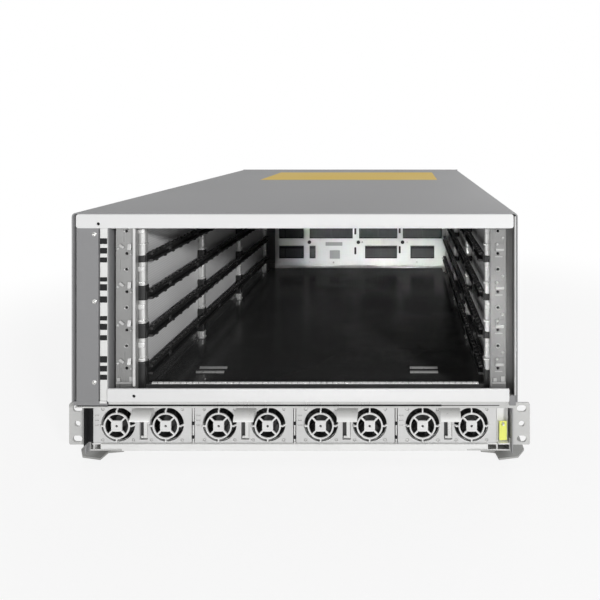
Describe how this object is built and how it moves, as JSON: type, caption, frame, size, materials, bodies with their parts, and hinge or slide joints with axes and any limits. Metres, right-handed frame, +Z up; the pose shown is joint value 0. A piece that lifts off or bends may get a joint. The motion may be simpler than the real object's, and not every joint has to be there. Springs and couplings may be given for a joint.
{
  "type": "aggregation router chassis",
  "caption": "Rack router chassis with an open horizontal card cage, a fan tray, an air filter and hot-swap power supplies with guarded fans and lever handles.",
  "frame": {"origin": "middle of the footprint, on the surface that the rails stand on", "axes": "+X to the right seen from the front, +Y from the front bezel to the back, +Z up"},
  "size_m": [0.4826, 0.6356, 0.2637],
  "materials": {
    "cover_paint": "satin powder coat",
    "pale_trim": "fine matt",
    "label_white": "matt film",
    "screw_steel": "plated",
    "plated_steel": "zinc plated",
    "tray_steel": "zinc plated",
    "rail_paint": "satin",
    "guide_black": "moulded",
    "screen_grey": "matt",
    "cage_black": "smooth gloss",
    "spring_steel": "bright",
    "board_green": "solder mask",
    "connector_black": "moulded",
    "ear_paint": "satin",
    "tag_yellow": "satin",
    "filter_foam": "open-cell foam in a moulded rim",
    "inlet_black": "moulded",
    "switch_black": "gloss",
    "fan_black": "moulded",
    "supply_metal": "zinc plated",
    "supply_front": "satin",
    "handle_metal": "satin"
  },
  "bodies": {
    "chassis": {"top_cover": "cover_paint", "left_side_panel": "cover_paint", "right_side_panel": "cover_paint", "base_pan": "plated_steel", "support_rails": "rail_paint", "mid_shelf": "plated_steel", "rear_panel": "cover_paint", "top_bezel": "pale_trim", "lower_bezel": "pale_trim", "left_front_panel": "cover_paint", "slot_label_strip": "label_white", "panel_screws": "screw_steel", "left_cage_flange": "plated_steel", "right_cage_flange": "plated_steel", "left_guide_frame": "plated_steel", "right_guide_frame": "plated_steel", "left_card_guides": "guide_black", "right_card_guides": "guide_black", "left_air_screen": "screen_grey", "right_air_screen": "screen_grey", "cage_floor": "cage_black", "cage_roof": "cage_black", "emi_gasket": "spring_steel", "backplane_panel": "plated_steel", "backplane_board": "board_green", "backplane_connectors": "connector_black", "power_tray": "tray_steel", "service_tag": "tag_yellow", "left_rack_ear": "ear_paint", "right_rack_ear": "ear_paint", "ac_inlets": "inlet_black"},
    "fan_tray": {"fan_tray": "tray_steel"},
    "air_filter": {"air_filter": "filter_foam"},
    "power_switch": {"power_switch": "switch_black"},
    "fan_tray_rotor_1": {"fan_tray_rotor_1": "fan_black"},
    "fan_tray_rotor_2": {"fan_tray_rotor_2": "fan_black"},
    "fan_tray_rotor_3": {"fan_tray_rotor_3": "fan_black"},
    "fan_tray_rotor_4": {"fan_tray_rotor_4": "fan_black"},
    "supply_1": {"supply_1_case": "supply_metal", "supply_1_face": "supply_front"},
    "supply_1_handle": {"supply_1_handle": "handle_metal"},
    "supply_1_left_rotor": {"supply_1_left_rotor": "fan_black"},
    "supply_1_right_rotor": {"supply_1_right_rotor": "fan_black"},
    "supply_2": {"supply_2_case": "supply_metal", "supply_2_face": "supply_front"},
    "supply_2_handle": {"supply_2_handle": "handle_metal"},
    "supply_2_left_rotor": {"supply_2_left_rotor": "fan_black"},
    "supply_2_right_rotor": {"supply_2_right_rotor": "fan_black"},
    "supply_3": {"supply_3_case": "supply_metal", "supply_3_face": "supply_front"},
    "supply_3_handle": {"supply_3_handle": "handle_metal"},
    "supply_3_left_rotor": {"supply_3_left_rotor": "fan_black"},
    "supply_3_right_rotor": {"supply_3_right_rotor": "fan_black"},
    "supply_4": {"supply_4_case": "supply_metal", "supply_4_face": "supply_front"},
    "supply_4_handle": {"supply_4_handle": "handle_metal"},
    "supply_4_left_rotor": {"supply_4_left_rotor": "fan_black"},
    "supply_4_right_rotor": {"supply_4_right_rotor": "fan_black"}
  },
  "joints": [
    {"name": "fan_tray_slide", "type": "slide", "parent": "chassis", "child": "fan_tray", "axis": [0, 1, 0], "range_m": [0, 0.55]},
    {"name": "air_filter_slide", "type": "slide", "parent": "chassis", "child": "air_filter", "axis": [0, 1, 0], "range_m": [0, 0.55]},
    {"name": "power_switch_rock", "type": "hinge", "parent": "chassis", "child": "power_switch", "pos_m": [0.19, 0.305, 0.036], "axis": [1, 0, 0], "range_deg": [0, 16]},
    {"name": "fan_tray_rotor_1_spin", "type": "hinge", "parent": "fan_tray", "child": "fan_tray_rotor_1", "pos_m": [-0.20135, -0.21725, 0.15725], "axis": [1, 0, 0], "continuous": true},
    {"name": "fan_tray_rotor_2_spin", "type": "hinge", "parent": "fan_tray", "child": "fan_tray_rotor_2", "pos_m": [-0.20135, -0.06825, 0.15725], "axis": [1, 0, 0], "continuous": true},
    {"name": "fan_tray_rotor_3_spin", "type": "hinge", "parent": "fan_tray", "child": "fan_tray_rotor_3", "pos_m": [-0.20135, 0.08075, 0.15725], "axis": [1, 0, 0], "continuous": true},
    {"name": "fan_tray_rotor_4_spin", "type": "hinge", "parent": "fan_tray", "child": "fan_tray_rotor_4", "pos_m": [-0.20135, 0.22975, 0.15725], "axis": [1, 0, 0], "continuous": true},
    {"name": "supply_1_slide", "type": "slide", "parent": "chassis", "child": "supply_1", "axis": [0, -1, 0], "range_m": [0, 0.3]},
    {"name": "supply_1_handle_lever", "type": "hinge", "parent": "supply_1", "child": "supply_1_handle", "pos_m": [-0.16105, -0.28975, 0.0247], "axis": [1, 0, 0], "range_deg": [0, 75]},
    {"name": "supply_1_left_rotor_spin", "type": "hinge", "parent": "supply_1", "child": "supply_1_left_rotor", "pos_m": [-0.18955, -0.27825, 0.0384], "axis": [0, 1, 0], "continuous": true},
    {"name": "supply_1_right_rotor_spin", "type": "hinge", "parent": "supply_1", "child": "supply_1_right_rotor", "pos_m": [-0.13855, -0.27825, 0.0384], "axis": [0, 1, 0], "continuous": true},
    {"name": "supply_2_slide", "type": "slide", "parent": "chassis", "child": "supply_2", "axis": [0, -1, 0], "range_m": [0, 0.3]},
    {"name": "supply_2_handle_lever", "type": "hinge", "parent": "supply_2", "child": "supply_2_handle", "pos_m": [-0.05495, -0.28975, 0.0247], "axis": [1, 0, 0], "range_deg": [0, 75]},
    {"name": "supply_2_left_rotor_spin", "type": "hinge", "parent": "supply_2", "child": "supply_2_left_rotor", "pos_m": [-0.08345, -0.27825, 0.0384], "axis": [0, 1, 0], "continuous": true},
    {"name": "supply_2_right_rotor_spin", "type": "hinge", "parent": "supply_2", "child": "supply_2_right_rotor", "pos_m": [-0.03245, -0.27825, 0.0384], "axis": [0, 1, 0], "continuous": true},
    {"name": "supply_3_slide", "type": "slide", "parent": "chassis", "child": "supply_3", "axis": [0, -1, 0], "range_m": [0, 0.3]},
    {"name": "supply_3_handle_lever", "type": "hinge", "parent": "supply_3", "child": "supply_3_handle", "pos_m": [0.05115, -0.28975, 0.0247], "axis": [1, 0, 0], "range_deg": [0, 75]},
    {"name": "supply_3_left_rotor_spin", "type": "hinge", "parent": "supply_3", "child": "supply_3_left_rotor", "pos_m": [0.02265, -0.27825, 0.0384], "axis": [0, 1, 0], "continuous": true},
    {"name": "supply_3_right_rotor_spin", "type": "hinge", "parent": "supply_3", "child": "supply_3_right_rotor", "pos_m": [0.07365, -0.27825, 0.0384], "axis": [0, 1, 0], "continuous": true},
    {"name": "supply_4_slide", "type": "slide", "parent": "chassis", "child": "supply_4", "axis": [0, -1, 0], "range_m": [0, 0.3]},
    {"name": "supply_4_handle_lever", "type": "hinge", "parent": "supply_4", "child": "supply_4_handle", "pos_m": [0.15725, -0.28975, 0.0247], "axis": [1, 0, 0], "range_deg": [0, 75]},
    {"name": "supply_4_left_rotor_spin", "type": "hinge", "parent": "supply_4", "child": "supply_4_left_rotor", "pos_m": [0.12875, -0.27825, 0.0384], "axis": [0, 1, 0], "continuous": true},
    {"name": "supply_4_right_rotor_spin", "type": "hinge", "parent": "supply_4", "child": "supply_4_right_rotor", "pos_m": [0.17975, -0.27825, 0.0384], "axis": [0, 1, 0], "continuous": true}
  ]
}
